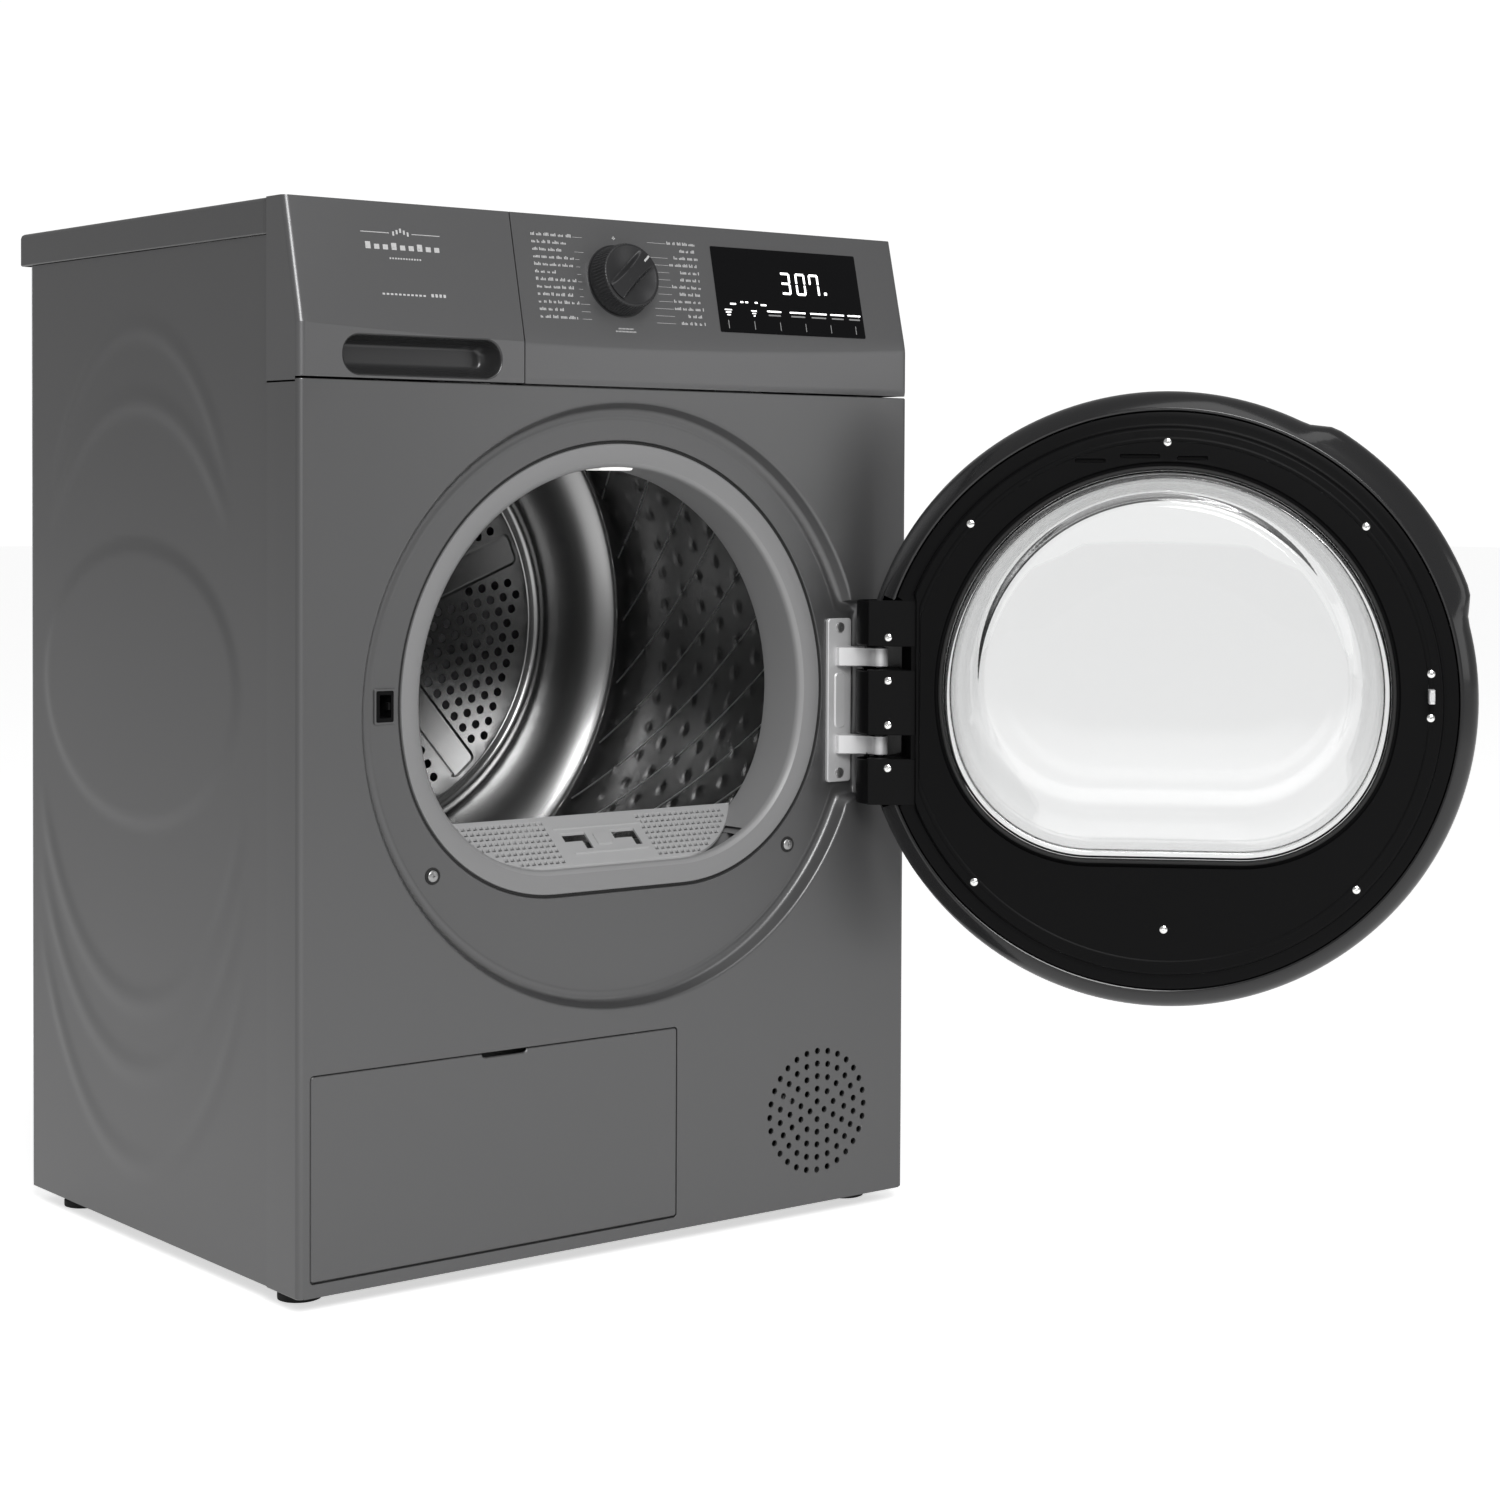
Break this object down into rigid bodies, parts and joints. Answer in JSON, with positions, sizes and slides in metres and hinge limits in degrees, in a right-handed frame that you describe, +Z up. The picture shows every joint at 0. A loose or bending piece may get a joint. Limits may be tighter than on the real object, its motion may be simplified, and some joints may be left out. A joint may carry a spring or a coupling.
{
  "type": "clothes dryer",
  "caption": "Front-loading condenser tumble dryer with its round porthole door swung open, control dial, display, water-tank drawer and lower service flap.",
  "frame": {"origin": "on the floor, in the middle of the four feet", "axes": "+Z up, -Y towards the front with the door, +X towards the door's hinge side (right as seen from the front)"},
  "size_m": [0.9088, 0.8973, 0.845],
  "materials": {
    "panel_grey": "satin metallic",
    "console_grey": "satin",
    "door_black": "gloss",
    "inner_black": "satin",
    "mouth_grey": "satin",
    "filter_grey": "satin",
    "drum_steel": "satin",
    "zinc_steel": "zinc plated",
    "clear_glass": "clear",
    "lamp_clear": "frosted",
    "display_black": "gloss",
    "rubber_black": "matte",
    "felt_grey": "felt",
    "mesh_fabric": "fine woven mesh",
    "fin_aluminium": "bare",
    "white_plastic": "satin",
    "board_green": "satin"
  },
  "bodies": {
    "cabinet": {"base_pan": "inner_black", "side_panel_left": "panel_grey", "side_panel_right": "panel_grey", "rear_panel": "zinc_steel", "rear_duct_cover": "zinc_steel", "top_cover": "panel_grey", "front_panel": "panel_grey", "console_fascia": "console_grey", "display_glass": "display_black", "control_board": "board_green", "knob_encoder": "inner_black", "front_bulkhead": "mouth_grey", "front_felt_seal": "felt_grey", "rear_bearing_bracket": "zinc_steel", "heater": "zinc_steel", "lamp_lens": "lamp_clear", "latch_receptacle": "inner_black", "motor_housing": "zinc_steel", "cooling_fan_housing": "inner_black", "rear_air_channel": "inner_black", "condenser": "fin_aluminium", "condensate_pump": "inner_black", "condensate_hose": "rubber_black", "tank_tray": "white_plastic", "mains_gland": "inner_black", "hinge_plate": "zinc_steel", "drive_belt": "rubber_black", "cabinet_screws": "zinc_steel"},
    "door": {"door_outer_frame": "door_black", "door_window": "clear_glass", "door_inner_frame": "inner_black", "door_glass": "clear_glass", "door_seal": "rubber_black", "door_hinge_bracket": "inner_black", "door_hook": "zinc_steel", "door_screws": "zinc_steel"},
    "drum": {"drum_shell": "drum_steel", "drum_rear_wall": "drum_steel", "drum_lifters": "mouth_grey", "drum_shaft": "zinc_steel"},
    "rotor": {"motor_shaft": "zinc_steel", "motor_pulley": "zinc_steel", "cooling_impeller": "inner_black", "process_impeller": "inner_black"},
    "tension_arm": {"idler_arm": "zinc_steel"},
    "tension_wheel": {"idler_pulley": "inner_black"},
    "roller_left": {"drum_roller_left": "rubber_black"},
    "roller_right": {"drum_roller_right": "rubber_black"},
    "programme_knob": {"knob": "console_grey"},
    "tank_drawer": {"drawer_front": "console_grey", "water_tank": "white_plastic"},
    "flap": {"service_flap": "panel_grey"},
    "lever_left": {"condenser_lever_left": "white_plastic"},
    "lever_right": {"condenser_lever_right": "white_plastic"},
    "filter": {"lint_filter_cover": "filter_grey", "lint_filter_screen": "mesh_fabric"},
    "foot_fl": {"foot_front_left": "rubber_black"},
    "foot_fr": {"foot_front_right": "rubber_black"},
    "foot_rl": {"foot_rear_left": "rubber_black"},
    "foot_rr": {"foot_rear_right": "rubber_black"}
  },
  "joints": [
    {"name": "door_swing", "type": "hinge", "parent": "cabinet", "child": "door", "pos_m": [0.25, -0.262, 0.444], "axis": [0, 0, 1], "range_deg": [-133.5, 5]},
    {"name": "drum_spin", "type": "hinge", "parent": "cabinet", "child": "drum", "pos_m": [0, 0, 0.5], "axis": [0, 1, 0], "continuous": true},
    {"name": "rotor_spin", "type": "hinge", "parent": "cabinet", "child": "rotor", "pos_m": [0.201, 0, 0.092], "axis": [0, 1, 0], "continuous": true},
    {"name": "roller_left_spin", "type": "hinge", "parent": "cabinet", "child": "roller_left", "pos_m": [-0.15715, -0.15, 0.22781], "axis": [0, 1, 0], "continuous": true},
    {"name": "roller_right_spin", "type": "hinge", "parent": "cabinet", "child": "roller_right", "pos_m": [0.15715, -0.15, 0.22781], "axis": [0, 1, 0], "continuous": true},
    {"name": "tension_arm_swing", "type": "hinge", "parent": "cabinet", "child": "tension_arm", "pos_m": [0.16083, 0.075, 0.07881], "axis": [0, -1, 0], "range_deg": [0, 12], "stiffness_Nm_per_rad": 1, "springref_deg": -17.19},
    {"name": "tension_wheel_spin", "type": "hinge", "parent": "tension_arm", "child": "tension_wheel", "pos_m": [0.10702, 0.065, 0.10535], "axis": [0, 1, 0], "continuous": true},
    {"name": "programme_knob_turn", "type": "hinge", "parent": "cabinet", "child": "programme_knob", "pos_m": [0, -0.22766, 0.794], "axis": [0, -0.9749, 0.2228], "continuous": true},
    {"name": "tank_drawer_slide", "type": "slide", "parent": "cabinet", "child": "tank_drawer", "axis": [0, -1, 0], "range_m": [0, 0.33]},
    {"name": "flap_swing", "type": "hinge", "parent": "cabinet", "child": "flap", "pos_m": [-0.11725, -0.229, 0.0345], "axis": [1, 0, 0], "range_deg": [0, 90]},
    {"name": "lever_left_turn", "type": "hinge", "parent": "cabinet", "child": "lever_left", "pos_m": [-0.236, -0.222, 0.097], "axis": [0, 1, 0], "range_deg": [0, 90]},
    {"name": "lever_right_turn", "type": "hinge", "parent": "cabinet", "child": "lever_right", "pos_m": [-0.029, -0.222, 0.097], "axis": [0, 1, 0], "range_deg": [0, 90]},
    {"name": "filter_lift", "type": "slide", "parent": "cabinet", "child": "filter", "axis": [0, 0, 1], "range_m": [0, 0.12]},
    {"name": "foot_fl_turn", "type": "hinge", "parent": "cabinet", "child": "foot_fl", "pos_m": [-0.27, -0.192, 0], "axis": [0, 0, 1], "continuous": true},
    {"name": "foot_fr_turn", "type": "hinge", "parent": "cabinet", "child": "foot_fr", "pos_m": [0.27, -0.192, 0], "axis": [0, 0, 1], "continuous": true},
    {"name": "foot_rl_turn", "type": "hinge", "parent": "cabinet", "child": "foot_rl", "pos_m": [-0.27, 0.192, 0], "axis": [0, 0, 1], "continuous": true},
    {"name": "foot_rr_turn", "type": "hinge", "parent": "cabinet", "child": "foot_rr", "pos_m": [0.27, 0.192, 0], "axis": [0, 0, 1], "continuous": true}
  ],
  "couplings": [
    {"joint": "rotor_spin", "follows": "drum_spin", "ratio": 27.893},
    {"joint": "roller_left_spin", "follows": "drum_spin", "ratio": -10.214},
    {"joint": "roller_right_spin", "follows": "drum_spin", "ratio": -10.214},
    {"joint": "tension_wheel_spin", "follows": "drum_spin", "ratio": -15.961}
  ]
}
